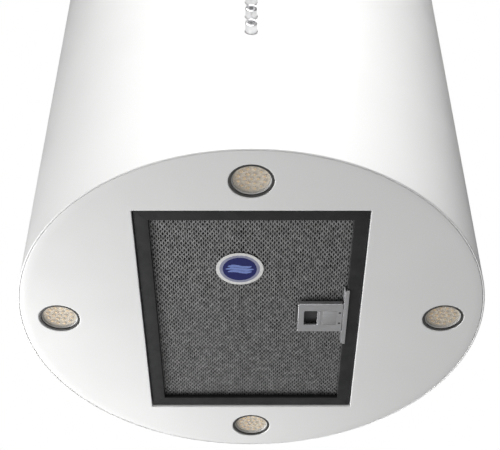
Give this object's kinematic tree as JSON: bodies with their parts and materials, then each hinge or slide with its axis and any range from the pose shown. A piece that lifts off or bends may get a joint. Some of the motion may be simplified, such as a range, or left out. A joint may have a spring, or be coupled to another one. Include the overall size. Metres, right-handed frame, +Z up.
{
  "type": "island range hood",
  "caption": "Round ceiling-hung cooker hood with a hinged grease filter and finger latch, spot lamps, push buttons, and a blower with a duct collar inside.",
  "frame": {"origin": "centre of the ceiling plate's upper face, on the hood's vertical axis", "axes": "+Z up to the ceiling, -Y towards the controls, +X to the right of someone facing the controls"},
  "size_m": [0.4, 0.4085, 0.8],
  "materials": {
    "white_paint": "smooth satin powder coat",
    "zinc_sheet": "zinc-coated sheet",
    "black_paint": "satin black",
    "mesh_metal": "dull expanded mesh",
    "sticker": "coated paper",
    "latch_metal": "satin",
    "bright_steel": "bright",
    "dark_plastic": "fine texture",
    "motor_paint": "matt black",
    "grey_plastic": "moulded",
    "board": "solder mask",
    "button_silver": "metallised",
    "lamp_face": "frosted lens",
    "ceramic": "matt",
    "wire_sheath": "matt sheath"
  },
  "bodies": {
    "hood": {"outer_shell": "white_paint", "bottom_panel": "white_paint", "ceiling_plate": "zinc_sheet", "frame_strut_rear_right": "zinc_sheet", "frame_strut_rear_left": "zinc_sheet", "frame_strut_front_left": "zinc_sheet", "frame_strut_front_right": "zinc_sheet", "shell_screw_1": "bright_steel", "shell_screw_2": "bright_steel", "shell_screw_3": "bright_steel", "shell_screw_4": "bright_steel", "motor_box": "zinc_sheet", "blower_housing": "zinc_sheet", "blower_cover": "zinc_sheet", "motor": "motor_paint", "motor_bracket": "zinc_sheet", "duct_collar": "dark_plastic", "flap_pin": "bright_steel", "control_box": "zinc_sheet", "control_box_lid": "zinc_sheet", "control_board": "board", "motor_capacitor": "grey_plastic", "cable_gland": "dark_plastic", "led_driver": "grey_plastic", "switch_block": "dark_plastic", "switch_bracket": "zinc_sheet", "lamp_bezel_front": "dark_plastic", "lamp_bezel_right": "dark_plastic", "lamp_bezel_rear": "dark_plastic", "lamp_bezel_left": "dark_plastic", "led_lamp_front": "lamp_face", "led_lamp_right": "lamp_face", "led_lamp_rear": "lamp_face", "led_lamp_left": "lamp_face", "lamp_socket_front": "ceramic", "lamp_socket_right": "ceramic", "lamp_socket_rear": "ceramic", "lamp_socket_left": "ceramic", "lamp_cable_front": "wire_sheath", "lamp_cable_right": "wire_sheath", "lamp_cable_rear": "wire_sheath", "lamp_cable_left": "wire_sheath", "button_cable": "wire_sheath", "motor_cable": "wire_sheath"},
    "filter": {"filter_frame": "black_paint", "filter_mesh": "mesh_metal", "filter_sticker": "sticker", "latch_base": "latch_metal", "latch_spring": "bright_steel"},
    "latch": {"latch_slider": "latch_metal"},
    "fan": {"impeller": "dark_plastic", "motor_shaft": "bright_steel"},
    "flap_front": {"damper_flap_front": "grey_plastic"},
    "flap_rear": {"damper_flap_rear": "grey_plastic"},
    "button_light_body": {"button_light": "button_silver"},
    "button_stop_body": {"button_stop": "button_silver"},
    "button_low_body": {"button_low": "button_silver"},
    "button_medium_body": {"button_medium": "button_silver"},
    "button_high_body": {"button_high": "button_silver"}
  },
  "joints": [
    {"name": "filter_hinge", "type": "hinge", "parent": "hood", "child": "filter", "pos_m": [-0.0932, 0, -0.7984], "axis": [0, 1, 0], "range_deg": [0, 85]},
    {"name": "latch_slide", "type": "slide", "parent": "filter", "child": "latch", "axis": [-1, 0, 0], "range_m": [0, 0.008], "stiffness_N_per_m": 300, "springref_m": -0.004, "deforming": ["latch_spring"]},
    {"name": "fan_spin", "type": "hinge", "parent": "hood", "child": "fan", "pos_m": [0, -0.03, -0.64], "axis": [1, 0, 0], "continuous": true},
    {"name": "flap_front_hinge", "type": "hinge", "parent": "hood", "child": "flap_front", "pos_m": [0, 0.056, -0.4657], "axis": [-1, 0, 0], "range_deg": [0, 75]},
    {"name": "flap_rear_hinge", "type": "hinge", "parent": "hood", "child": "flap_rear", "pos_m": [0, 0.056, -0.4657], "axis": [1, 0, 0], "range_deg": [0, 75]},
    {"name": "button_light_press", "type": "slide", "parent": "hood", "child": "button_light_body", "axis": [0, 1, 0], "range_m": [0, 0.0025], "stiffness_N_per_m": 400, "springref_m": -0.001},
    {"name": "button_stop_press", "type": "slide", "parent": "hood", "child": "button_stop_body", "axis": [0, 1, 0], "range_m": [0, 0.0025], "stiffness_N_per_m": 400, "springref_m": -0.001},
    {"name": "button_low_press", "type": "slide", "parent": "hood", "child": "button_low_body", "axis": [0, 1, 0], "range_m": [0, 0.0025], "stiffness_N_per_m": 400, "springref_m": -0.001},
    {"name": "button_medium_press", "type": "slide", "parent": "hood", "child": "button_medium_body", "axis": [0, 1, 0], "range_m": [0, 0.0025], "stiffness_N_per_m": 400, "springref_m": -0.001},
    {"name": "button_high_press", "type": "slide", "parent": "hood", "child": "button_high_body", "axis": [0, 1, 0], "range_m": [0, 0.0025], "stiffness_N_per_m": 400, "springref_m": -0.001}
  ]
}
